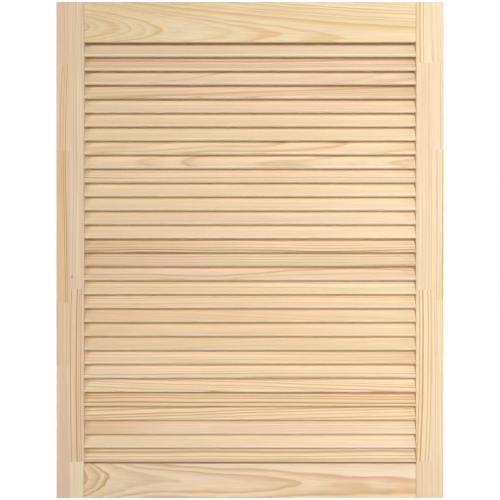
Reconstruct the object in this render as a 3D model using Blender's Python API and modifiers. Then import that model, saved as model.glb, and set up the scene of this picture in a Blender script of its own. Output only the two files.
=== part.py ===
"""Louvred cabinet door in bare pine.

Two stiles and two rails frame a bank of fixed slats. The slat ends sit in angled, round-ended
slots routed into the stiles, and dowels join the rails to the stiles. Units are metres, +Z is up,
the front faces -Y and the origin is the middle of the bottom edge.
"""

import math

import bmesh
import bpy
from mathutils import Euler, Matrix, Vector

MM = 0.001

# Leaf
DOOR_WIDTH = 394 * MM
DOOR_HEIGHT = 505 * MM
DOOR_THICKNESS = 20 * MM
STILE_WIDTH = 28 * MM
EDGE_RADIUS = 1.4 * MM
END_CHAMFER = 0.6 * MM

# Rails: one section, rebated along its inner edge, the bottom rail being the top one turned over
RAIL_HEIGHT = 40.9 * MM
RAIL_REBATE = 5.9 * MM
RAIL_LIP = 5 * MM
RAIL_END_GAP = 0.2 * MM

# Slats, with a full round on both long edges
SLAT_THICKNESS = 5 * MM
SLAT_ANGLE = math.radians(53)
SLAT_SETBACK = 1.6 * MM
SLAT_PITCH_WANTED = 14.25 * MM
SLAT_RAIL_GAP = 0.3 * MM

# Slots in the stiles
SLOT_DEPTH = 8 * MM
SLOT_CLEARANCE = 0.2 * MM
SLAT_END_GAP = 0.4 * MM

# Dowels, fluted along their length
DOWEL_DIAMETER = 8 * MM
DOWEL_FLUTE_DEPTH = 0.4 * MM
DOWEL_FLUTES = 16
DOWEL_IN_STILE = 18 * MM
DOWEL_IN_RAIL = 20 * MM
DOWEL_CHAMFER = 0.8 * MM
DOWEL_CLEARANCE = 0.15 * MM
DOWEL_END_GAP = 0.6 * MM
DOWEL_FROM_EDGE = 9.5 * MM

# Facets and tolerances of the model
ROUND_STEPS = 4
HOLE_SIDES = 24
CUTTER_OVERRUN = 3 * MM
WELD = 0.001 * MM

# Sizes that follow from the ones above
half_thickness = DOOR_THICKNESS / 2
inner_x = DOOR_WIDTH / 2 - STILE_WIDTH
nose_radius = SLAT_THICKNESS / 2
nose_depth = SLAT_SETBACK + nose_radius
slat_core = (DOOR_THICKNESS - 2 * nose_depth) / math.cos(SLAT_ANGLE)
slat_width = slat_core + SLAT_THICKNESS
slat_length = 2 * (inner_x + SLOT_DEPTH - SLAT_END_GAP)
rail_length = 2 * (inner_x - RAIL_END_GAP)
rail_short = RAIL_HEIGHT - RAIL_REBATE
lowest_nose = rail_short + SLAT_RAIL_GAP + nose_radius
lowest_slat = lowest_nose + slat_core / 2 * math.sin(SLAT_ANGLE)
highest_slat = DOOR_HEIGHT - lowest_slat
slat_count = round((highest_slat - lowest_slat) / SLAT_PITCH_WANTED) + 1
slat_pitch = (highest_slat - lowest_slat) / (slat_count - 1)
dowel_rows = (DOWEL_FROM_EDGE, rail_short - DOWEL_FROM_EDGE)


def empty_scene():
    for thing in list(bpy.data.objects):
        bpy.data.objects.remove(thing, do_unlink=True)


def new_collection(name):
    collection = bpy.data.collections.new(name)
    bpy.context.scene.collection.children.link(collection)
    return collection


def wood(name, colour, roughness):
    material = bpy.data.materials.new(name)
    material.use_nodes = True
    shader = material.node_tree.nodes["Principled BSDF"]
    shader.inputs["Base Color"].default_value = (*colour, 1)
    shader.inputs["Roughness"].default_value = roughness
    shader.inputs["Metallic"].default_value = 0
    return material


def rounded_outline(corners, radius):
    """The points of a polygon, given anticlockwise, with every corner rounded to the radius."""
    points = []
    for index, corner in enumerate(corners):
        corner = Vector(corner)
        inward = (corner - Vector(corners[index - 1])).normalized()
        outward = (Vector(corners[(index + 1) % len(corners)]) - corner).normalized()
        turn = -inward.angle_signed(outward)
        bend = math.copysign(radius, turn)
        spoke = Vector((inward.y, -inward.x)) * bend
        centre = corner - inward * bend * math.tan(turn / 2) - spoke
        for step in range(ROUND_STEPS + 1):
            point = centre + Matrix.Rotation(turn * step / ROUND_STEPS, 2) @ spoke
            if not points or (point - points[-1]).length > WELD:
                points.append(point)
    if (points[0] - points[-1]).length <= WELD:
        points.pop()
    return points


def rectangle(width, height):
    x = width / 2
    y = height / 2
    return [(-x, -y), (x, -y), (x, y), (-x, y)]


def prism(name, corners, radius, length):
    """A mesh that runs along local Z, centred, with the rounded polygon as its section."""
    outline = bpy.data.curves.new(name, "CURVE")
    outline.dimensions = "2D"
    outline.fill_mode = "BOTH"
    outline.extrude = length / 2
    points = rounded_outline(corners, radius)
    spline = outline.splines.new("POLY")
    spline.points.add(len(points) - 1)
    spline.use_cyclic_u = True
    for target, point in zip(spline.points, points):
        target.co = (point.x, point.y, 0, 1)
    drawn = bpy.data.objects.new(name, outline)
    bpy.context.scene.collection.objects.link(drawn)
    graph = bpy.context.evaluated_depsgraph_get()
    mesh = bpy.data.meshes.new_from_object(drawn.evaluated_get(graph))
    mesh.name = name
    bpy.data.objects.remove(drawn, do_unlink=True)
    bpy.data.curves.remove(outline)
    shell = bmesh.new()
    shell.from_mesh(mesh)
    bmesh.ops.remove_doubles(shell, verts=shell.verts, dist=WELD)
    bmesh.ops.recalc_face_normals(shell, faces=shell.faces)
    shell.to_mesh(mesh)
    shell.free()
    return mesh


def cylinder(radius, length, sides):
    """A cylinder that runs along local Z, centred."""
    shell = bmesh.new()
    bmesh.ops.create_cone(
        shell, cap_ends=True, segments=sides, radius1=radius, radius2=radius, depth=length
    )
    return shell


def mesh_of(name, shell):
    mesh = bpy.data.meshes.new(name)
    shell.to_mesh(mesh)
    shell.free()
    return mesh


def fluted_pin(name, diameter, length):
    """A dowel along local Z: every other line of the cylinder is sunk, and both ends are tapered."""
    radius = diameter / 2
    shell = cylinder(radius, length - 2 * DOWEL_CHAMFER, 2 * DOWEL_FLUTES)
    for vertex in shell.verts:
        step = round(math.atan2(vertex.co.y, vertex.co.x) / math.pi * DOWEL_FLUTES)
        if step % 2:
            vertex.co.xy *= 1 - DOWEL_FLUTE_DEPTH / radius
    caps = [face for face in shell.faces if abs(face.normal.z) > 0.5]
    for tip in bmesh.ops.extrude_discrete_faces(shell, faces=caps)["faces"]:
        for vertex in tip.verts:
            vertex.co.xy *= 1 - DOWEL_CHAMFER / radius
            vertex.co.z += math.copysign(DOWEL_CHAMFER, vertex.co.z)
    return mesh_of(name, shell)


def repeated(name, mesh, places):
    """One mesh that holds a copy of the given mesh at each of the places."""
    shell = bmesh.new()
    for place in places:
        copy = mesh.copy()
        copy.transform(place)
        shell.from_mesh(copy)
        bpy.data.meshes.remove(copy)
    return mesh_of(name, shell)


def along_x(x, z, turn):
    """The place of a prism laid along X, its section turned about X by the given angle."""
    lay = Euler((math.pi / 2, -turn, math.pi / 2)).to_matrix().to_4x4()
    return Matrix.Translation((x, 0, z)) @ lay


def add_part(name, mesh, material, place):
    if not mesh.materials:
        mesh.materials.append(material)
    part = bpy.data.objects.new(name, mesh)
    parts.objects.link(part)
    part.parent = door
    part.matrix_local = place
    return part


def add_cutter(name, mesh):
    cutter = bpy.data.objects.new(name, mesh)
    cutters.objects.link(cutter)
    cutter.hide_render = True
    cutter.display_type = "WIRE"
    return cutter


def cut(part, cutter):
    boolean = part.modifiers.new(cutter.name, "BOOLEAN")
    boolean.operation = "DIFFERENCE"
    boolean.solver = "EXACT"
    boolean.object = cutter


def chamfer_ends(part, width):
    bevel = part.modifiers.new("end chamfer", "BEVEL")
    bevel.width = width
    bevel.segments = 1
    bevel.limit_method = "ANGLE"
    bevel.angle_limit = math.radians(60)


def shade_round(mesh):
    mesh.shade_smooth()
    mesh.set_sharp_from_angle(angle=math.radians(40))


def slat_height(number):
    return highest_slat - number * slat_pitch


def add_stile(name, side):
    """An upright with a row of slots on its inner face and dowel holes at both ends."""
    section = rectangle(STILE_WIDTH, DOOR_THICKNESS)
    mesh = prism(name, section, EDGE_RADIUS, DOOR_HEIGHT)
    middle = side * (inner_x + STILE_WIDTH / 2)
    stile = add_part(name, mesh, pine_stile, Matrix.Translation((middle, 0, DOOR_HEIGHT / 2)))
    chamfer_ends(stile, END_CHAMFER)
    slot_section = rectangle(slat_width + 2 * SLOT_CLEARANCE, SLAT_THICKNESS + 2 * SLOT_CLEARANCE)
    slot = prism("slot", slot_section, nose_radius + SLOT_CLEARANCE, SLOT_DEPTH + CUTTER_OVERRUN)
    slot_x = side * (inner_x + (SLOT_DEPTH - CUTTER_OVERRUN) / 2)
    slot_places = [along_x(slot_x, slat_height(n), SLAT_ANGLE) for n in range(slat_count)]
    cut(stile, add_cutter(name + "_slots", repeated(name + "_slots", slot, slot_places)))
    hole_depth = DOWEL_IN_STILE + DOWEL_END_GAP
    hole_x = side * (inner_x + (hole_depth - CUTTER_OVERRUN) / 2)
    holes = dowel_holes(name + "_holes", hole_depth, [hole_x], dowel_heights())
    cut(stile, add_cutter(name + "_holes", holes))


def dowel_heights():
    return [*dowel_rows, *(DOOR_HEIGHT - row for row in dowel_rows)]


def dowel_holes(name, depth, xs, heights):
    radius = DOWEL_DIAMETER / 2 + DOWEL_CLEARANCE
    hole = mesh_of("hole", cylinder(radius, depth + CUTTER_OVERRUN, HOLE_SIDES))
    return repeated(name, hole, [along_x(x, z, 0) for x in xs for z in heights])


def add_rail(name, height, turn):
    """A crosspiece with its lip in front at the top of the door and behind at the bottom."""
    lip_back = RAIL_LIP - half_thickness
    section = [
        (-half_thickness, -RAIL_HEIGHT),
        (lip_back, -RAIL_HEIGHT),
        (lip_back, -rail_short),
        (half_thickness, -rail_short),
        (half_thickness, 0),
        (-half_thickness, 0),
    ]
    mesh = prism(name, section, EDGE_RADIUS, rail_length)
    rail = add_part(name, mesh, pine_rail, along_x(0, height, turn))
    chamfer_ends(rail, END_CHAMFER)
    hole_depth = DOWEL_IN_RAIL - RAIL_END_GAP + DOWEL_END_GAP
    hole_x = rail_length / 2 - (hole_depth - CUTTER_OVERRUN) / 2
    heights = [z for z in dowel_heights() if abs(z - height) < RAIL_HEIGHT]
    holes = dowel_holes(name + "_holes", hole_depth, [-hole_x, hole_x], heights)
    cut(rail, add_cutter(name + "_holes", holes))


def add_slats():
    section = rectangle(slat_width, SLAT_THICKNESS)
    mesh = prism("slat", section, nose_radius, slat_length)
    shade_round(mesh)
    for number in range(slat_count):
        place = along_x(0, slat_height(number), SLAT_ANGLE)
        add_part(f"slat_{number + 1:02d}", mesh, pine_slat, place)


def add_dowels():
    mesh = fluted_pin("dowel", DOWEL_DIAMETER, DOWEL_IN_STILE + DOWEL_IN_RAIL)
    shade_round(mesh)
    shift = (DOWEL_IN_STILE - DOWEL_IN_RAIL) / 2
    rows = zip(("bottom_outer", "bottom_inner", "top_outer", "top_inner"), dowel_heights())
    for row, height in rows:
        for side_name, side in (("left", -1), ("right", 1)):
            place = along_x(side * (inner_x + shift), height, 0)
            add_part(f"dowel_{side_name}_{row}", mesh, beech_dowel, place)


empty_scene()
parts = new_collection("louvred_cabinet_door")
cutters = new_collection("cutters")
pine_stile = wood("pine_stile", (0.78, 0.58, 0.37), 0.62)
pine_rail = wood("pine_rail", (0.79, 0.59, 0.35), 0.6)
pine_slat = wood("pine_slat", (0.77, 0.54, 0.32), 0.6)
beech_dowel = wood("beech_dowel", (0.62, 0.42, 0.26), 0.65)
door = bpy.data.objects.new("door", None)
parts.objects.link(door)
add_stile("stile_left", -1)
add_stile("stile_right", 1)
add_rail("rail_top", DOOR_HEIGHT, 0)
add_rail("rail_bottom", 0, math.pi)
add_slats()
add_dowels()
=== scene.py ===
"""Looks of a louvred cabinet door in bare, unfinished pine.

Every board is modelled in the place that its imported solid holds, and its wood is a solid pattern of
growth rings round the middle of a trunk, so that the face, edge and end grain of a board agree.
"""

import math
from typing import NamedTuple

import bmesh
import bpy
from mathutils import Euler, Matrix, Vector


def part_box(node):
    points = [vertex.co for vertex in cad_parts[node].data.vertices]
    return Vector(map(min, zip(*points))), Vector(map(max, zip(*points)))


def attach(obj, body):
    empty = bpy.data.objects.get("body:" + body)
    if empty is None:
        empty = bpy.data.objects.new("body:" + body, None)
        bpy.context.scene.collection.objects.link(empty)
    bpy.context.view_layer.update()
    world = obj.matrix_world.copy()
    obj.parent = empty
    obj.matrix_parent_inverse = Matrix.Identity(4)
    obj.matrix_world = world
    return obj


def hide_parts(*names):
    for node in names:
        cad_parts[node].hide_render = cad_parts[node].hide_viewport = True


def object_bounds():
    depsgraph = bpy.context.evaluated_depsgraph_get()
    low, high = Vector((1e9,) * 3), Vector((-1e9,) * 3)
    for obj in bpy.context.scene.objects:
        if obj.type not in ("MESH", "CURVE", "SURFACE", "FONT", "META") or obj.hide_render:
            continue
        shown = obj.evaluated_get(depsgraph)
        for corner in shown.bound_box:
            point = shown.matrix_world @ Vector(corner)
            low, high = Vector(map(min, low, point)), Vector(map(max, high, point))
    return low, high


MM = 0.001
WHITE = (1, 1, 1)

# The places of two axes in a vector
X = 0
Z = 2

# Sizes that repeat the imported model's
SLAT_COUNT = 30
SLAT_THICKNESS = 5 * MM
SLAT_LEAN = math.radians(53)
SLOT_DEPTH = 8 * MM
SLOT_CLEARANCE = 0.2 * MM
RAIL_LIP = 5 * MM
RAIL_REBATE = 5.9 * MM
DOWEL_CLEARANCE = 0.15 * MM
DOWEL_END_GAP = 0.6 * MM

# Where a rail's lip is: below and in front, or above and behind
IN_FRONT = -1
BEHIND = 1

# Eased edges, their steps and roundness, and the steps round a bore
ARRIS = 0.7 * MM
ARRIS_STEPS = 6
END_ARRIS = 0.5 * MM
END_STEPS = 3
NOSE_ARRIS = 1.1 * MM
NOSE_ROUND = 3.8 * MM
NOSE_STEPS = 12
ROUND_PROFILE = 0.5
BORE_STEPS = 48

# Tests on a mesh: one place, one plane, a smooth turn, a corner in radians, and two like directions
WELD = 0.001 * MM
FLAT_BELOW = math.radians(0.05)
SMOOTH_BELOW = math.radians(35)
CORNER_ABOVE = 0.5
ALONG = 0.99
FACING = 0.9

# The camera's distance from the door's front, how much of the front the picture spans, and the
# width of the sensor in millimetres
LOOK_FROM = 880 * MM
FRAME_SPAN = 508.6 * MM
SENSOR = 36

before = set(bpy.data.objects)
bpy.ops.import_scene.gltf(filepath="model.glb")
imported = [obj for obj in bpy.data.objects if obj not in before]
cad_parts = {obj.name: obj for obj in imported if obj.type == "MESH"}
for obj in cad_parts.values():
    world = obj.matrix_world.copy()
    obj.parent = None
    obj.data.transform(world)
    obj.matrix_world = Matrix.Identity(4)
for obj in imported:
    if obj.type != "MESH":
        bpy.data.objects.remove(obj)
cad_low, cad_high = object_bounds()
half_thickness = cad_high.y
middle_height = cad_high.z / 2


def middle_of(node):
    low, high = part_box(node)
    return (low + high) / 2


def slat_node(number):
    return f"slat_{number:02d}"


def dowel_nodes():
    return sorted(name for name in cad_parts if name.startswith("dowel"))


# Joinery

def focus(piece):
    """Leaves this piece alone selected and active."""
    bpy.ops.object.select_all(action="DESELECT")
    piece.select_set(True)
    bpy.context.view_layer.objects.active = piece


def settle(piece):
    """Moves a piece's place, turn and scale into its mesh."""
    focus(piece)
    bpy.ops.object.transform_apply(location=True, rotation=True, scale=True)


def block(name, low, high):
    """A square block between two corners."""
    bpy.ops.object.select_all(action="DESELECT")
    bpy.ops.mesh.primitive_cube_add(size=1, location=(low + high) / 2, scale=high - low)
    piece = bpy.context.object
    piece.name = piece.data.name = name
    settle(piece)
    return piece


def pick(piece, kind, wanted):
    """Selects in edit mode the edges or faces that pass the test."""
    bpy.ops.mesh.select_mode(type="EDGE" if kind == "edges" else "FACE")
    bpy.ops.mesh.select_all(action="DESELECT")
    shell = bmesh.from_edit_mesh(piece.data)
    for element in getattr(shell, kind):
        if wanted(element):
            element.select_set(True)
    shell.select_flush_mode()
    bmesh.update_edit_mesh(piece.data)


def is_corner(edge):
    return edge.calc_face_angle(0) > CORNER_ABOVE


def runs_along(axis):
    """A test for the corner edges that run along an axis."""

    def wanted(edge):
        way = edge.verts[1].co - edge.verts[0].co
        return is_corner(edge) and abs(way[axis]) > ALONG * way.length

    return wanted


def rims(axis, low, high):
    """A test for the edges round the two end faces of a board."""

    def wanted(edge):
        ends = [vertex.co[axis] for vertex in edge.verts]
        return is_corner(edge) and any(all(abs(end - at) < WELD for end in ends) for at in (low, high))

    return wanted


def ease(piece, wanted, width, steps):
    """Rounds the picked edges over."""
    pick(piece, "edges", wanted)
    bpy.ops.mesh.bevel(offset=width, segments=steps, profile=ROUND_PROFILE, affect="EDGES")


def sand(piece):
    """Cleans the mesh and gives flat faces even shading beside their rounded edges."""
    focus(piece)
    bpy.ops.object.mode_set(mode="EDIT")
    bpy.ops.mesh.select_all(action="SELECT")
    bpy.ops.mesh.remove_doubles(threshold=WELD)
    bpy.ops.mesh.dissolve_degenerate(threshold=WELD)
    bpy.ops.mesh.dissolve_limited(angle_limit=FLAT_BELOW)
    bpy.ops.mesh.normals_make_consistent(inside=False)
    bpy.ops.object.mode_set(mode="OBJECT")
    bpy.ops.object.shade_smooth_by_angle(angle=SMOOTH_BELOW)
    even = piece.modifiers.new("even faces", "WEIGHTED_NORMAL")
    even.keep_sharp = True
    bpy.ops.object.modifier_apply(modifier=even.name)


def cut(piece, cutter):
    """Takes the cutter's shape out of a piece."""
    focus(piece)
    boolean = piece.modifiers.new("cut", "BOOLEAN")
    boolean.operation = "DIFFERENCE"
    boolean.solver = "EXACT"
    boolean.object = cutter
    bpy.ops.object.modifier_apply(modifier=boolean.name)


def slat_sizes():
    """A slat's length and width, from the box of a packed one, whose long edges are full rounds."""
    low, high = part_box(slat_node(1))
    core = (high.z - low.z - SLAT_THICKNESS) / math.sin(SLAT_LEAN)
    return high.x - low.x, core + SLAT_THICKNESS


def moulded_strip(name, length, spare):
    """A slat's section along X, lying flat round the origin, grown all round by what is spare.

    Each long edge is rounded tightly where it shows and widely where it turns away."""
    _, width = slat_sizes()
    half = Vector((length, width + 2 * spare, SLAT_THICKNESS + 2 * spare)) / 2
    strip = block(name, -half, half)
    corner = runs_along(X)

    def showing(edge):
        _, y, z = edge.verts[0].co
        return corner(edge) and y * z < 0

    bpy.ops.object.mode_set(mode="EDIT")
    ease(strip, showing, NOSE_ARRIS + spare, NOSE_STEPS)
    ease(strip, corner, NOSE_ROUND + spare, NOSE_STEPS)
    bpy.ops.mesh.select_all(action="SELECT")
    bpy.ops.mesh.remove_doubles(threshold=WELD)
    bpy.ops.object.mode_set(mode="OBJECT")
    return strip


def lean(strip, number):
    """Turns a flat strip to the slats' slope, in one slat's place."""
    strip.location = middle_of(slat_node(number))
    strip.rotation_euler = (SLAT_LEAN, 0, 0)
    settle(strip)


def model_slats():
    """One slat, modelled lying flat, then copied and leaned into each pair of slots."""
    length, _ = slat_sizes()
    first = moulded_strip("pine_slat", length, spare=0)
    sand(first)
    slats = []
    for number in range(1, SLAT_COUNT + 1):
        slat = first.copy()
        slat.data = first.data.copy()
        slat.name = slat.data.name = f"pine_{slat_node(number)}"
        bpy.context.scene.collection.objects.link(slat)
        lean(slat, number)
        slats.append(slat)
    bpy.data.objects.remove(first, do_unlink=True)
    return slats


def slot_cutter():
    """The router's track: a slot for every slat, right across the door."""
    reach = 2 * (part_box("stile_right")[0].x + SLOT_DEPTH)
    cutter = moulded_strip("slots", reach, SLOT_CLEARANCE)
    lean(cutter, SLAT_COUNT)
    rise = middle_of(slat_node(1)).z - middle_of(slat_node(SLAT_COUNT)).z
    row = cutter.modifiers.new("row", "ARRAY")
    row.count = SLAT_COUNT
    row.use_relative_offset = False
    row.use_constant_offset = True
    row.constant_offset_displace = (0, 0, rise / (SLAT_COUNT - 1))
    bpy.ops.object.modifier_apply(modifier=row.name)
    return cutter


def dowel_cutter():
    """The drill's track: a bore round each dowel."""
    bores = []
    for name in dowel_nodes():
        low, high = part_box(name)
        bpy.ops.object.select_all(action="DESELECT")
        bpy.ops.mesh.primitive_cylinder_add(
            vertices=BORE_STEPS,
            radius=(high.z - low.z) / 2 + DOWEL_CLEARANCE,
            depth=high.x - low.x + 2 * DOWEL_END_GAP,
            location=(low + high) / 2,
            rotation=(0, math.pi / 2, 0),
        )
        bores.append(bpy.context.object)
    for bore in bores:
        bore.select_set(True)
    bpy.ops.object.join()
    settle(bpy.context.object)
    return bpy.context.object


def model_stile(name, node, cutters):
    """An upright with eased edges, slots on its inner face and bores at both ends."""
    low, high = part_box(node)
    stile = block(name, low, high)
    bpy.ops.object.mode_set(mode="EDIT")
    ease(stile, runs_along(Z), ARRIS, ARRIS_STEPS)
    ease(stile, rims(Z, low.z, high.z), END_ARRIS, END_STEPS)
    bpy.ops.object.mode_set(mode="OBJECT")
    for cutter in cutters:
        cut(stile, cutter)
    sand(stile)
    return stile


def model_rail(name, node, lip_side, cutter):
    """A crosspiece whose inner edge is rebated, leaving a lip in front or behind."""
    low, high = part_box(node)
    body_low, body_high = low.copy(), high.copy()
    if lip_side == IN_FRONT:
        body_low.z += RAIL_REBATE
    else:
        body_high.z -= RAIL_REBATE
    rail = block(name, body_low, body_high)
    lip_edge = lip_side * (half_thickness - RAIL_LIP)

    def carries_lip(face):
        beyond = face.calc_center_median().y - lip_edge
        return face.normal.z * lip_side > FACING and beyond * lip_side > 0

    bpy.ops.object.mode_set(mode="EDIT")
    bpy.ops.mesh.select_all(action="SELECT")
    bpy.ops.mesh.bisect(plane_co=(0, lip_edge, 0), plane_no=(0, 1, 0))
    pick(rail, "faces", carries_lip)
    bpy.ops.mesh.extrude_region_move(TRANSFORM_OT_translate={"value": (0, 0, lip_side * RAIL_REBATE)})
    bpy.ops.mesh.select_all(action="SELECT")
    bpy.ops.mesh.dissolve_limited(angle_limit=FLAT_BELOW)
    ease(rail, runs_along(X), ARRIS, ARRIS_STEPS)
    ease(rail, rims(X, low.x, high.x), END_ARRIS, END_STEPS)
    bpy.ops.object.mode_set(mode="OBJECT")
    cut(rail, cutter)
    sand(rail)
    return rail


# Shader nodes

class MixKind(NamedTuple):
    """What a Mix node mixes, and the numbers of its first input and its result."""

    data: str
    first: int
    result: int


VECTORS = MixKind("VECTOR", 4, 1)
COLOURS = MixKind("RGBA", 6, 2)


def add_node(tree, kind, inputs=None, **settings):
    """A shader node with its settings, and its inputs linked to sockets or set to values."""
    node = tree.nodes.new("ShaderNode" + kind)
    for name, value in settings.items():
        setattr(node, name, value)
    for key, value in (inputs or {}).items():
        if isinstance(value, bpy.types.NodeSocket):
            tree.links.new(value, node.inputs[key])
        else:
            node.inputs[key].default_value = value
    return node


def maths(tree, operation, *values, clamp=False):
    inputs = dict(enumerate(values))
    return add_node(tree, "Math", inputs, operation=operation, use_clamp=clamp).outputs[0]


def vector_maths(tree, operation, *values):
    inputs = dict(enumerate(values))
    return add_node(tree, "VectorMath", inputs, operation=operation).outputs["Vector"]


def length_of(tree, vector):
    return add_node(tree, "VectorMath", {0: vector}, operation="LENGTH").outputs["Value"]


def split(tree, vector):
    return add_node(tree, "SeparateXYZ", {0: vector}).outputs


def joined(tree, x=0, y=0, z=0):
    return add_node(tree, "CombineXYZ", {0: x, 1: y, 2: z}).outputs[0]


def spread(tree, value, levels, results=(0, 1), kind="LINEAR"):
    """Takes a value between two levels to the same place between two results."""
    inputs = dict(enumerate((value, *levels, *results)))
    return add_node(tree, "MapRange", inputs, interpolation_type=kind).outputs[0]


def mix(tree, share, first, second, kind=COLOURS, **settings):
    inputs = {"Factor": share, kind.first: first, kind.first + 1: second}
    return add_node(tree, "Mix", inputs, data_type=kind.data, **settings).outputs[kind.result]


def noise(tree, vector, detail=1, roughness=0.5):
    """A noise node with one cell to a unit."""
    inputs = {"Vector": vector, "Scale": 1, "Detail": detail, "Roughness": roughness}
    return add_node(tree, "TexNoise", inputs)


def greys(node, rows):
    """Sets a colour ramp from (position, grey) rows."""
    elements = node.color_ramp.elements
    while len(elements) > 1:
        elements.remove(elements[-1])
    for index, (position, grey) in enumerate(rows):
        element = elements.new(position) if index else elements[0]
        element.position = position
        element.color = (grey, grey, grey, 1)


def object_place(tree):
    return add_node(tree, "TexCoord").outputs["Object"]


def fitted(tree, **turns):
    """The place on the object, seen from a spot that has its own location, rotation or scale."""
    inputs = {"Vector": object_place(tree)}
    inputs.update({name.capitalize(): value for name, value in turns.items()})
    return add_node(tree, "Mapping", inputs, vector_type="TEXTURE").outputs[0]


# Pine

# Noise cells in a metre, along the trunk and across it
WANDER_CELLS = (6.5, 16, 16)
TREMBLE_CELLS = (32, 120, 120)
CLOUD_CELLS = (4, 38, 38)
FIBRE_CELLS = (11, 620, 620)
DUCT_CELLS = (48, 1500, 1500)
FIBRE_DETAIL = 3
FIBRE_RAGGEDNESS = 0.6
NOISE_MIDDLE = (0.5, 0.5, 0.5)

# What one step of the seed moves: the noise, the weather and the count of years
SEED_SHIFT = (13.7, 5.3, 9.1)
SEED_WEATHER = 4.7
SEED_YEARS = 31

# How fast the weather changes from ring to ring, how far it moves them, and the faintest ring
WEATHER_PACE = 0.55
WEATHER_SWING = 1.5
FAINTEST_RING = 0.3

# How dark a ring is from its start in spring to its end
RING_PROFILE = ((0, 0.5), (0.06, 0.04), (0.4, 0), (0.7, 0.22), (0.88, 0.85), (0.96, 1), (1, 0.5))

# The levels of noise between which heart tint, ducts and fibres go from none to full
CLOUD_LEVELS = (0.38, 0.66)
DUCT_LEVELS = (0.66, 0.76)
FIBRE_LEVELS = (0.25, 0.75)

# What fibres, ducts and latewood do to the shade, the roughness and the height
FIBRE_SHADES = (0.9, 1.08)
DUCT_SHADE = 0.12
FIBRE_ROUGHNESS = (0.68, 0.56)
LATE_POLISH = 0.08
LATE_HEIGHT = 0.6
FIBRE_HEIGHT = 0.5
DUCT_HEIGHT = 0.5

# Bare wood: how strongly and deeply the height shows, and its gloss
GRAIN_STRENGTH = 0.25
GRAIN_DEPTH = 0.4 * MM
BARE_GLOSS = 0.3

# The share of a knot that is full, and how much of its tint shows there
KNOT_CORE = 0.35
KNOT_STRENGTH = 0.85

# The share of heartwood tint where it is full, and of the figure where it has faded
HEARTWOOD_SHARE = 0.32
FADED_FIGURE = 0.75


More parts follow.
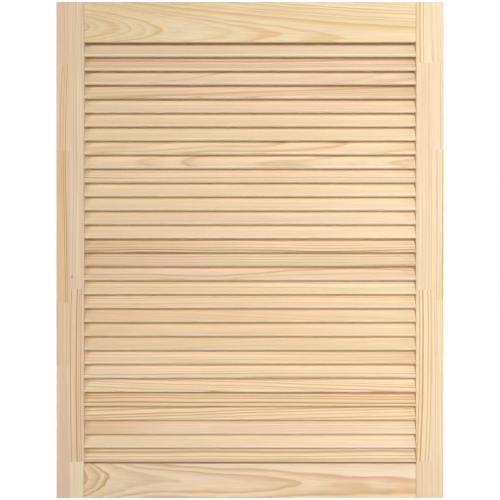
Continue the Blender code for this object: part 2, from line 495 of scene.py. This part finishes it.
def sawn_pine_group():
    """Colour, roughness and height of pine at a place in its trunk.

    Log is that place: X runs up the trunk, and Y and Z are measured from its middle."""
    tree = bpy.data.node_groups.new("sawn_pine", "ShaderNodeTree")
    sockets = (
        ("Log", "INPUT", "NodeSocketVector"),
        ("Ring Width", "INPUT", "NodeSocketFloat"),
        ("Drift", "INPUT", "NodeSocketFloat"),
        ("Tremble", "INPUT", "NodeSocketFloat"),
        ("Figure", "INPUT", "NodeSocketFloat"),
        ("Crispness", "INPUT", "NodeSocketFloat"),
        ("Seed", "INPUT", "NodeSocketFloat"),
        ("Early", "INPUT", "NodeSocketColor"),
        ("Late", "INPUT", "NodeSocketColor"),
        ("Heart", "INPUT", "NodeSocketColor"),
        ("Color", "OUTPUT", "NodeSocketColor"),
        ("Roughness", "OUTPUT", "NodeSocketFloat"),
        ("Height", "OUTPUT", "NodeSocketFloat"),
    )
    for name, side, kind in sockets:
        tree.interface.new_socket(name, in_out=side, socket_type=kind)
    given = tree.nodes.new("NodeGroupInput").outputs
    place = given["Log"]
    shift = joined(tree, *(maths(tree, "MULTIPLY", given["Seed"], step) for step in SEED_SHIFT))

    def celled(cells):
        return vector_maths(tree, "ADD", vector_maths(tree, "MULTIPLY", place, cells), shift)

    def strayed(cells, reach):
        stray = noise(tree, celled(cells)).outputs["Color"]
        stray = vector_maths(tree, "SUBTRACT", stray, NOISE_MIDDLE)
        return add_node(tree, "VectorMath", {0: stray, "Scale": reach}, operation="SCALE").outputs["Vector"]

    # The trunk's middle wanders along its length.
    wander = strayed(WANDER_CELLS, given["Drift"])
    tremble = strayed(TREMBLE_CELLS, given["Tremble"])
    moved = vector_maths(tree, "ADD", place, vector_maths(tree, "ADD", wander, tremble))
    radius = length_of(tree, vector_maths(tree, "MULTIPLY", moved, (0, 1, 1)))

    # Rings of uneven width, each with its own depth of latewood.
    ring = maths(tree, "DIVIDE", radius, given["Ring Width"])
    spell = maths(tree, "MULTIPLY", given["Seed"], SEED_WEATHER)
    spell = maths(tree, "ADD", maths(tree, "MULTIPLY", ring, WEATHER_PACE), spell)
    weather = add_node(tree, "TexNoise", {"W": spell, "Scale": 1, "Detail": 1}, noise_dimensions="1D")
    ring = maths(tree, "ADD", ring, maths(tree, "MULTIPLY", weather.outputs[0], WEATHER_SWING))
    year = maths(tree, "MULTIPLY", given["Seed"], SEED_YEARS)
    year = maths(tree, "ADD", maths(tree, "FLOOR", ring), year)
    vigour = add_node(tree, "TexWhiteNoise", {"W": year}, noise_dimensions="1D").outputs["Value"]
    profile = add_node(tree, "ValToRGB", {0: maths(tree, "FRACT", ring)})
    greys(profile, RING_PROFILE)
    late = maths(tree, "POWER", profile.outputs[0], given["Crispness"])
    late = maths(tree, "MULTIPLY", late, spread(tree, vigour, (0, 1), (FAINTEST_RING, 1)))
    late = maths(tree, "MULTIPLY", late, given["Figure"], clamp=True)

    # Fibres and short resin ducts run with the grain, and the tone drifts slowly.
    fibre = noise(tree, celled(FIBRE_CELLS), FIBRE_DETAIL, FIBRE_RAGGEDNESS).outputs[0]
    duct = spread(tree, noise(tree, celled(DUCT_CELLS)).outputs[0], DUCT_LEVELS)
    cloud = spread(tree, noise(tree, celled(CLOUD_CELLS)).outputs[0], CLOUD_LEVELS)

    wood = mix(tree, cloud, given["Early"], given["Heart"])
    wood = mix(tree, late, wood, given["Late"])
    grain = spread(tree, fibre, FIBRE_LEVELS, FIBRE_SHADES)
    grain = maths(tree, "SUBTRACT", grain, maths(tree, "MULTIPLY", duct, DUCT_SHADE))
    shade = add_node(tree, "CombineColor", {0: grain, 1: grain, 2: grain}).outputs[0]
    wood = mix(tree, 1, wood, shade, blend_type="MULTIPLY")
    rough = spread(tree, fibre, FIBRE_LEVELS, FIBRE_ROUGHNESS)
    rough = maths(tree, "SUBTRACT", rough, maths(tree, "MULTIPLY", late, LATE_POLISH))
    height = maths(tree, "MULTIPLY", fibre, FIBRE_HEIGHT)
    height = maths(tree, "ADD", maths(tree, "MULTIPLY", late, LATE_HEIGHT), height)
    height = maths(tree, "SUBTRACT", height, maths(tree, "MULTIPLY", duct, DUCT_HEIGHT))
    out = tree.nodes.new("NodeGroupOutput")
    for name, socket in (("Color", wood), ("Roughness", rough), ("Height", height)):
        tree.links.new(socket, out.inputs[name])
    return tree


class Tone(NamedTuple):
    """Pale spring wood, dark summer wood, and the tint towards the heart."""

    early: tuple
    late: tuple
    heart: tuple


SAND = Tone((0.855, 0.70, 0.505), (0.60, 0.40, 0.21), (0.83, 0.665, 0.475))
STRAW = Tone((0.865, 0.725, 0.51), (0.64, 0.43, 0.19), (0.845, 0.69, 0.465))
ROSE = Tone((0.855, 0.695, 0.505), (0.62, 0.385, 0.215), (0.825, 0.645, 0.46))
PEACH = Tone((0.875, 0.725, 0.52), (0.64, 0.405, 0.195), (0.855, 0.685, 0.475))
IVORY = Tone((0.90, 0.745, 0.55), (0.60, 0.40, 0.22), (0.88, 0.715, 0.51))
AMBER = Tone((0.89, 0.735, 0.53), (0.54, 0.31, 0.15), (0.87, 0.695, 0.485))
HONEY = Tone((0.845, 0.68, 0.462), (0.54, 0.30, 0.125), (0.815, 0.63, 0.412))
BISCUIT = Tone((0.82, 0.62, 0.46), (0.55, 0.34, 0.19), (0.79, 0.58, 0.42))
BLUSH = Tone((0.775, 0.56, 0.40), (0.53, 0.305, 0.16), (0.74, 0.52, 0.365))
CREAM = Tone((0.76, 0.62, 0.42), (0.56, 0.35, 0.13), (0.765, 0.595, 0.385))
APRICOT = Tone((0.80, 0.635, 0.425), (0.55, 0.30, 0.12), (0.79, 0.60, 0.39))
TAN = Tone((0.775, 0.555, 0.35), (0.44, 0.24, 0.08), (0.745, 0.52, 0.32))
GINGER = Tone((0.83, 0.635, 0.44), (0.55, 0.28, 0.11), (0.80, 0.59, 0.395))
CHALK = Tone((0.83, 0.675, 0.49), (0.56, 0.38, 0.22), (0.79, 0.62, 0.445))
RUSSET = Tone((0.82, 0.62, 0.425), (0.49, 0.25, 0.12), (0.79, 0.575, 0.385))
SHELL = Tone((0.75, 0.60, 0.425), (0.55, 0.36, 0.185), (0.755, 0.58, 0.395))
BLOOM = Tone((0.765, 0.605, 0.43), (0.66, 0.43, 0.29), (0.775, 0.58, 0.40))
BUTTER = Tone((0.78, 0.63, 0.415), (0.61, 0.385, 0.145), (0.745, 0.57, 0.35))
TOAST = Tone((0.87, 0.71, 0.52), (0.65, 0.42, 0.22), (0.82, 0.64, 0.45))
BEECH = Tone((0.66, 0.45, 0.29), (0.50, 0.31, 0.19), (0.60, 0.40, 0.25))
HEARTWOOD_TINT = (0.64, 0.39, 0.185)
KNOT_TINT = (0.78, 0.50, 0.27)
FLECK_TINT = (0.36, 0.21, 0.11)


def opaque(colour):
    return (*colour, 1)


def knotted(tree, colour, knot, tint):
    """A small oval of darker wood, right through the board.

    Knot is its place on the door and its size, in millimetres: x, z, half width, half height."""
    x, z, half_width, half_height = (size * MM for size in knot)
    oval = fitted(tree, location=(x, 0, z), scale=(half_width, 1, half_height))
    share = spread(tree, length_of(tree, oval), (KNOT_CORE, 1), (KNOT_STRENGTH, 0), "SMOOTHSTEP")
    return mix(tree, share, colour, opaque(tint))


def new_material(name):
    """A material, its node tree and its shader."""
    material = bpy.data.materials.new(name)
    material.use_nodes = True
    tree = material.node_tree
    return material, tree, tree.nodes["Principled BSDF"]


def finish_bare(tree, shader, wood, colour):
    """Bare wood: its colour and roughness, and a grain that can just be felt."""
    height = wood.outputs["Height"]
    bump = add_node(tree, "Bump", {"Strength": GRAIN_STRENGTH, "Distance": GRAIN_DEPTH, "Height": height})
    tree.links.new(colour, shader.inputs["Base Color"])
    tree.links.new(wood.outputs["Roughness"], shader.inputs["Roughness"])
    tree.links.new(bump.outputs[0], shader.inputs["Normal"])
    shader.inputs["Specular IOR Level"].default_value = BARE_GLOSS


# Boards sawn in one piece

class Board(NamedTuple):
    """How a board was sawn from its trunk, in millimetres and degrees.

    Ring is the width of a year's ring. At is a point along the board, from its middle. There the
    trunk's middle passes at pith (across, deep), yaw slants the grain across the face, and dip runs
    it out through the face. Drift and tremble are how far the trunk's middle strays, slowly and
    quickly. Figure is the rings' strength, and crisp their sharpness. Butt (swell, length) is how far
    the trunk's middle drops from the face beyond its butt, and over what length. Fade (from, to) is
    where along X heartwood tint and bold rings fade out. Knot is a pin knot, as in knotted."""

    tone: Tone
    ring: float
    pith: tuple
    yaw: float = 0
    dip: float = 0
    drift: float = 4
    tremble: float = 0.5
    figure: float = 0.6
    crisp: float = 1
    butt: tuple = ()
    fade: tuple = ()
    knot: tuple = ()
    seed: float = 0
    at: float = 0


PLAIN = {"ring": 1.7, "figure": 0.4}
FINE = {"ring": 2.2, "figure": 0.8}
LINED = {"ring": 2.6, "figure": 1.3}
STRONG = {"ring": 2.7, "figure": 2.8}
STRIPED = {"ring": 2.9, "figure": 1.6}
BOLD = {"ring": 3.5, "figure": 2.1}
FAINT_ARCH = {"ring": 3.6, "figure": 0.6}
ARCHED = {"ring": 3.6, "figure": 1.2}

# From the top down
SLATS = (
    Board(SAND, pith=(90, -40), **PLAIN),
    Board(ROSE, pith=(70, -50), **STRIPED),
    Board(ROSE, pith=(4, -28), dip=3, drift=7, at=-60, **FAINT_ARCH),
    Board(SAND, pith=(60, -50), yaw=3, fade=(165, 40), **LINED),
    Board(IVORY, pith=(-80, -40), **FINE),
    Board(PEACH, pith=(80, -40), **PLAIN),
    Board(STRAW, pith=(-90, -30), **PLAIN),
    Board(PEACH, pith=(3, -24), dip=2, drift=8, at=-70, **ARCHED),
    Board(IVORY, pith=(-6, -30), dip=-3, drift=8, at=-90, **FAINT_ARCH),
    Board(IVORY, pith=(-70, -45), **STRIPED),
    Board(STRAW, pith=(80, -40), **PLAIN),
    Board(PEACH, pith=(100, -40), **PLAIN),
    Board(SAND, pith=(-80, -50), **PLAIN),
    Board(PEACH, pith=(70, -40), **PLAIN),
    Board(AMBER, pith=(-64, -26), drift=9, fade=(-165, 60), **STRONG),
    Board(SAND, pith=(75, -40), **STRIPED),
    Board(ROSE, pith=(5, -22), drift=10, **ARCHED),
    Board(STRAW, pith=(80, -60), **FINE),
    Board(PEACH, pith=(-60, -40), **LINED),
    Board(HONEY, pith=(70, -30), yaw=-3, **PLAIN),
    Board(HONEY, pith=(60, -45), **PLAIN),
    Board(HONEY, pith=(-70, -30), yaw=2.5, **PLAIN),
    Board(PEACH, pith=(-60, -50), fade=(165, -60), **LINED),
    Board(IVORY, pith=(50, -30), **STRIPED),
    Board(PEACH, pith=(70, -40), yaw=-2, **STRIPED),
    Board(HONEY, pith=(80, -30), **BOLD),
    Board(PEACH, pith=(-70, -40), yaw=2, **BOLD),
    Board(ROSE, pith=(80, -50), fade=(-165, -60), **FINE),
    Board(SAND, pith=(90, -40), **PLAIN),
    Board(SAND, pith=(-65, -30), **BOLD),
)

# A rail's face is upright.
RAIL_LEAN = math.radians(90)
RAIL_TOP = Board(
    BUTTER, ring=2.6, pith=(-6.5, -4.6), yaw=-2.6, dip=0.4, drift=3, tremble=1.2,
    figure=0.9, crisp=0.6, butt=(12, 80), seed=2, at=-135,
)
RAIL_BOTTOM = Board(
    TOAST, ring=3.8, pith=(-2, -14), yaw=-1.2, dip=0.7, drift=5, tremble=2,
    figure=1.6, crisp=0.6, butt=(4.6, 26), knot=(152.6, 11.2, 6.5, 5.5), seed=8, at=-140,
)
PEG = Board(BEECH, ring=1.2, pith=(30, 20), drift=1, figure=0.3, seed=3)


def beyond_butt(tree, place, swell, length):
    """The trunk's middle drops away from the face, quickly at first."""
    along = split(tree, place)["X"]
    rest = maths(tree, "EXPONENT", maths(tree, "DIVIDE", along, -length * MM))
    deeper = maths(tree, "MULTIPLY", maths(tree, "SUBTRACT", 1, rest), swell * MM)
    return vector_maths(tree, "ADD", place, joined(tree, z=deeper))


def fading(tree, wood, board):
    """Heartwood tint and bold rings at one end of a board, fading out along it."""
    fade = tuple(place * MM for place in board.fade)
    along = split(tree, object_place(tree))["X"]
    share = spread(tree, along, fade, (1, 0), "SMOOTHSTEP")
    figure = spread(tree, share, (0, 1), (FADED_FIGURE * board.figure, board.figure))
    tree.links.new(figure, wood.inputs["Figure"])
    share = maths(tree, "MULTIPLY", share, HEARTWOOD_SHARE)
    return mix(tree, share, wood.outputs["Color"], opaque(HEARTWOOD_TINT))


def sawn_wood(name, board, middle, tilt):
    """The wood of a board that lies along X, tilted about X round its middle."""
    material, tree, shader = new_material(name)
    turn = Matrix.Rotation(tilt, 3, "X")
    pith = Vector((board.at, *board.pith)) * MM
    slant = Euler((0, math.radians(board.dip), math.radians(board.yaw))).to_matrix()
    place = fitted(tree, location=middle + turn @ pith, rotation=(turn @ slant).to_euler())
    if board.butt:
        place = beyond_butt(tree, place, *board.butt)
    wood = add_node(tree, "Group", {
        "Log": place,
        "Ring Width": board.ring * MM,
        "Drift": board.drift * MM,
        "Tremble": board.tremble * MM,
        "Figure": board.figure,
        "Crispness": board.crisp,
        "Seed": board.seed,
        "Early": opaque(board.tone.early),
        "Late": opaque(board.tone.late),
        "Heart": opaque(board.tone.heart),
    }, node_tree=pine_group)
    colour = wood.outputs["Color"]
    if board.fade:
        colour = fading(tree, wood, board)
    if board.knot:
        colour = knotted(tree, colour, board.knot, KNOT_TINT)
    finish_bare(tree, shader, wood, colour)
    return material


# Stiles glued up from two strips of staves

# A streak that covers any strip
WHOLE_STRIP = (0, 60)


class Stave(NamedTuple):
    """A length of a strip, in millimetres.

    Top is its upper end. At its foot the trunk's middle lies at pith (across from the seam, deep from
    the front), and from there it slants and curves, per metre. Streak (middle, half width) is where
    across the strip its rings show."""

    top: float
    tone: Tone
    ring: float
    figure: float
    pith: tuple
    slant: float = 0
    curve: float = 0
    streak: tuple = WHOLE_STRIP


# From the bottom up
LEFT_OUTER = (
    Stave(136, BISCUIT, 2.2, 0.5, (-70, -60)),
    Stave(199, RUSSET, 3.0, 0.8, (60, -40)),
    Stave(353, TAN, 1.9, 2.6, (-60, -30), slant=-0.014, streak=(-3.6, 3.4)),
    Stave(441, GINGER, 2.7, 3, (40, -20), slant=0.004, curve=0.3, streak=(-7.5, 3.6)),
    Stave(505, BLUSH, 3.0, 0.5, (-30, -50)),
)
LEFT_INNER = (
    Stave(37, PEACH, 1.8, 0.3, (60, -40)),
    Stave(213, RUSSET, 2.9, 2, (60, -30), slant=-0.04, curve=0.22),
    Stave(505, CHALK, 1.8, 0.8, (50, -60)),
)
RIGHT_INNER = (
    Stave(38, SHELL, 2.6, 0.7, (40, -50)),
    Stave(212, APRICOT, 4.1, 2.2, (-70, -30), slant=0.045, curve=-0.2),
    Stave(443, SHELL, 2.2, 0.9, (-70, -50)),
    Stave(505, CREAM, 4.2, 1.5, (-60, -30), streak=(-9, 4)),
)
RIGHT_OUTER = (
    Stave(202, CREAM, 2.4, 1.4, (60, -30), slant=-0.01),
    Stave(355, CREAM, 2.4, 1.2, (60, -40)),
    Stave(443, BLOOM, 2.4, 2.4, (60, -40), streak=(8.5, 3.4)),
    Stave(505, SHELL, 4.0, 1.6, (50, -30), slant=-0.03, streak=(2, 2)),
)
LEFT_OUTER_WIDTH = 13.6 * MM
RIGHT_OUTER_WIDTH = 12.5 * MM
LEFT_FLECK = (-181, 225.5, 1.1, 2.4)

FINGER_LENGTH = 9 * MM
HALF_FINGER = 1.9 * MM
STREAK_FADE = 1.5 * MM
STREAK_OUTSIDE = 0.12
STAVE_DRIFT = 3 * MM
STAVE_TREMBLE = 0.4 * MM
STAVE_CRISP = 1.8
SECOND_STRIP_SEED = 11


def stave_values(stave, foot, seed):
    """What the wood needs to know of a stave, as vectors and colours."""
    across, deep = stave.pith
    middle, reach = stave.streak
    return {
        "rings": (stave.ring * MM, stave.figure, seed),
        "pith": (across * MM, deep * MM, foot),
        "sway": (stave.slant, stave.curve, 0),
        "streak": (middle * MM, reach * MM, 0),
        "early": opaque(stave.tone.early),
        "late": opaque(stave.tone.late),
        "heart": opaque(stave.tone.heart),
    }


def either(tree, share, first, second):
    """The first values where share is 0, and the second where it is 1."""
    kinds = {key: COLOURS if key in Tone._fields else VECTORS for key in first}
    return {key: mix(tree, share, first[key], second[key], kinds[key]) for key in first}


def strip_values(tree, level, strip):
    """Each stave's values over its own length of the strip."""
    lowest, *others = strip
    values = stave_values(lowest, foot=0, seed=1)
    foot = lowest.top * MM
    for seed, stave in enumerate(others, start=2):
        above = maths(tree, "GREATER_THAN", level, foot)
        values = either(tree, above, values, stave_values(stave, foot, seed))
        foot = stave.top * MM
    return values


def finger_jointed_pine(name, strips, seam, fleck=None):
    """Pine glued up from two strips, each of them finger-jointed from shorter staves."""
    material, tree, shader = new_material(name)
    x, y, z = split(tree, object_place(tree))

    # A joint is straight on the front and runs up and down in fingers through the thickness.
    front = maths(tree, "ADD", y, half_thickness)
    finger = maths(tree, "PINGPONG", front, HALF_FINGER)
    level = maths(tree, "ADD", z, maths(tree, "MULTIPLY", finger, FINGER_LENGTH / HALF_FINGER))

    across = maths(tree, "SUBTRACT", x, seam)
    beyond = maths(tree, "GREATER_THAN", across, 0)
    first, second = (strip_values(tree, level, strip) for strip in strips)
    stave = either(tree, beyond, first, second)
    ring, figure, seed = split(tree, stave["rings"])
    pith, deep, foot = split(tree, stave["pith"])
    slant, curve, _ = split(tree, stave["sway"])
    middle, reach, _ = split(tree, stave["streak"])

    # Across the grain is measured from a line that slants and curves upwards.
    up = maths(tree, "SUBTRACT", z, foot)
    sway = maths(tree, "MULTIPLY", up, maths(tree, "ADD", slant, maths(tree, "MULTIPLY", curve, up)))
    straight = maths(tree, "SUBTRACT", across, sway)
    place = joined(tree, z, maths(tree, "SUBTRACT", straight, pith), maths(tree, "SUBTRACT", front, deep))
    aside = maths(tree, "ABSOLUTE", maths(tree, "SUBTRACT", straight, middle))
    inside = spread(tree, maths(tree, "SUBTRACT", reach, aside), (0, STREAK_FADE), (STREAK_OUTSIDE, 1))

    wood = add_node(tree, "Group", {
        "Log": place,
        "Ring Width": ring,
        "Drift": STAVE_DRIFT,
        "Tremble": STAVE_TREMBLE,
        "Figure": maths(tree, "MULTIPLY", figure, inside),
        "Crispness": STAVE_CRISP,
        "Seed": maths(tree, "ADD", seed, maths(tree, "MULTIPLY", beyond, SECOND_STRIP_SEED)),
        "Early": stave["early"],
        "Late": stave["late"],
        "Heart": stave["heart"],
    }, node_tree=pine_group)
    colour = wood.outputs["Color"]
    if fleck:
        colour = knotted(tree, colour, fleck, FLECK_TINT)
    finish_bare(tree, shader, wood, colour)
    return material


def dress(piece, material, slot, *nodes):
    """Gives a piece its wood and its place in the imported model."""
    piece.data.materials.clear()
    piece.data.materials.append(material)
    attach(piece, "root")
    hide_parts(*nodes)


# Studio

class Lamp(NamedTuple):
    """A soft lamp turned to a point, in metres and watts."""

    name: str
    place: tuple
    aim: tuple
    width: float
    depth: float
    power: float
    colour: tuple = WHITE


LAMPS = (
    Lamp("window_right", (0.28, -2.0, 0.78), (4.4, 0, 1.1), 0.45, 0.74, 83),
    Lamp("fill_right", (2.1, -0.9, 0.8), (0, 0, 0.25), 0.5, 0.5, 10.5),
    Lamp("lamp_left", (-0.96, -1.15, 0.6), (0, 0, 0.25), 0.25, 0.25, 6.2, (1, 0.95, 0.8)),
    Lamp("behind_right", (1.9, 1.6, 0.16), (0, 0, 0.25), 0.9, 0.28, 32),
    Lamp("behind_left", (-1.9, 1.6, 0.16), (0, 0, 0.25), 0.9, 0.28, 32),
    Lamp("table_glow", (0, -0.42, 0.03), (0, 0, 0.06), 0.9, 0.12, 0.62),
    Lamp("overhead", (0, 0.3, 1.9), (0, 0, 0.5), 0.6, 0.3, 8),
)
ROOM_LEVEL = 0.01

# The floor's width and grey, and its white glow, which is full beyond a distance from the door
FLOOR_WIDTH = 12
FLOOR_GREY = (0.4, 0.4, 0.4)
GLOW_DISTANCES = (0.4, 1.6)
GLOW_LEVELS = (0.94, 1)


def seen_directly(tree):
    """One for a ray from the camera, off a mirror or through clear glass, and nought for others."""
    path = add_node(tree, "LightPath").outputs
    first = maths(tree, "MAXIMUM", path["Is Camera Ray"], path["Is Glossy Ray"])
    return maths(tree, "MAXIMUM", first, path["Is Transmission Ray"])


def lay_floor():
    """A pale floor that looks white and keeps the door's shadow."""
    bpy.ops.object.select_all(action="DESELECT")
    bpy.ops.mesh.primitive_plane_add(size=FLOOR_WIDTH)
    floor = bpy.context.object
    floor.name = "studio_floor"
    material, tree, shader = new_material("white_floor")
    tree.nodes.remove(shader)
    matt = add_node(tree, "BsdfDiffuse", {"Color": opaque(FLOOR_GREY)})
    level = spread(tree, length_of(tree, object_place(tree)), GLOW_DISTANCES, GLOW_LEVELS)
    level = maths(tree, "MULTIPLY", seen_directly(tree), level)
    glow = add_node(tree, "Emission", {"Color": opaque(WHITE), "Strength": level})
    both = add_node(tree, "AddShader", {0: matt.outputs[0], 1: glow.outputs[0]})
    tree.links.new(both.outputs[0], tree.nodes["Material Output"].inputs["Surface"])
    floor.data.materials.append(material)


def light_room():
    """A room that looks white and adds a trace of even light."""
    world = bpy.data.worlds.new("studio")
    bpy.context.scene.world = world
    world.use_nodes = True
    tree = world.node_tree
    background = tree.nodes["Background"]
    background.inputs["Color"].default_value = opaque(WHITE)
    level = spread(tree, seen_directly(tree), (0, 1), (ROOM_LEVEL, 1))
    tree.links.new(level, background.inputs["Strength"])


def hang_lamp(lamp):
    light = bpy.data.lights.new(lamp.name, "AREA")
    light.color = lamp.colour
    light.shape = "RECTANGLE"
    light.size = lamp.width
    light.size_y = lamp.depth
    light.energy = lamp.power
    holder = bpy.data.objects.new(lamp.name, light)
    holder.visible_camera = False
    bpy.context.scene.collection.objects.link(holder)
    holder.location = lamp.place
    holder.rotation_euler = (Vector(lamp.aim) - holder.location).to_track_quat("-Z", "Y").to_euler()


def set_camera():
    """Square on to the middle of the door's front."""
    camera = bpy.data.cameras.new("camera")
    camera.sensor_width = SENSOR
    camera.lens = SENSOR * LOOK_FROM / FRAME_SPAN
    holder = bpy.data.objects.new("camera", camera)
    bpy.context.scene.collection.objects.link(holder)
    holder.location = (0, -half_thickness - LOOK_FROM, middle_height)
    holder.rotation_euler = (math.pi / 2, 0, 0)
    bpy.context.scene.camera = holder


# The door

pine_group = sawn_pine_group()
slots = slot_cutter()
bores = dowel_cutter()
left = model_stile("pine_stile_left", "stile_left", (slots, bores))
right = model_stile("pine_stile_right", "stile_right", (slots, bores))
top = model_rail("pine_rail_top", "rail_top", IN_FRONT, bores)
bottom = model_rail("pine_rail_bottom", "rail_bottom", BEHIND, bores)
for cutter in (slots, bores):
    bpy.data.objects.remove(cutter, do_unlink=True)

left_seam = cad_low.x + LEFT_OUTER_WIDTH
left_wood = finger_jointed_pine("pine_stile_left", (LEFT_OUTER, LEFT_INNER), left_seam, LEFT_FLECK)
dress(left, left_wood, "pine_stile", "stile_left")
right_seam = cad_high.x - RIGHT_OUTER_WIDTH
right_wood = finger_jointed_pine("pine_stile_right", (RIGHT_INNER, RIGHT_OUTER), right_seam)
dress(right, right_wood, "pine_stile", "stile_right")
top_wood = sawn_wood("pine_rail_top", RAIL_TOP, middle_of("rail_top"), RAIL_LEAN)
dress(top, top_wood, "pine_rail", "rail_top")
bottom_wood = sawn_wood("pine_rail_bottom", RAIL_BOTTOM, middle_of("rail_bottom"), RAIL_LEAN)
dress(bottom, bottom_wood, "pine_rail", "rail_bottom")
for number, (slat, board) in enumerate(zip(model_slats(), SLATS), start=1):
    node = slat_node(number)
    slat_wood = sawn_wood(slat.name, board._replace(seed=number), middle_of(node), SLAT_LEAN)
    dress(slat, slat_wood, "pine_slat", node)

peg_wood = sawn_wood("beech_dowel", PEG, Vector(), tilt=0)
for name in dowel_nodes():
    for material_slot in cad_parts[name].material_slots:
        material_slot.material = peg_wood

bpy.context.scene.view_settings.view_transform = "Standard"
set_camera()
lay_floor()
light_room()
for lamp in LAMPS:
    hang_lamp(lamp)

bpy.context.view_layer.update()
